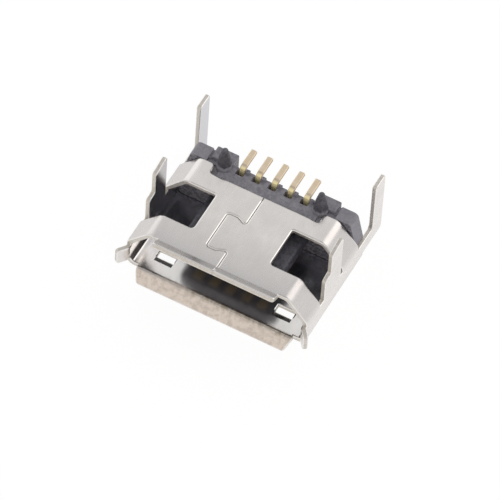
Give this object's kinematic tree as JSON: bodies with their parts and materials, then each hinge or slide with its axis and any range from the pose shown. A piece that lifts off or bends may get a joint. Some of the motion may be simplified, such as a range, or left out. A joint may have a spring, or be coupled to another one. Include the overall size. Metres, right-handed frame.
{
  "type": "micro usb socket",
  "caption": "Board connector socket in a folded metal shell with upright solder legs, locating posts and gold contacts on a tongue.",
  "frame": {"origin": "on the board-side face, midway between the two locating posts", "axes": "+Z out of the board side (legs and posts point along +Z), -Y out of the mouth, +X across the socket. The part lies loose with its board side up; it is turned over to stand on a board."},
  "size_m": [0.0078, 0.0062, 0.0039],
  "materials": {
    "shell": "bright nickel plating on rolled sheet",
    "insulator": "glass-filled moulding, satin",
    "contacts": "thin gold plating, satin"
  },
  "bodies": {
    "root": {"shell": "shell", "insulator": "insulator", "contact_1": "contacts", "contact_2": "contacts", "contact_3": "contacts", "contact_4": "contacts", "contact_5": "contacts"}
  },
  "joints": []
}
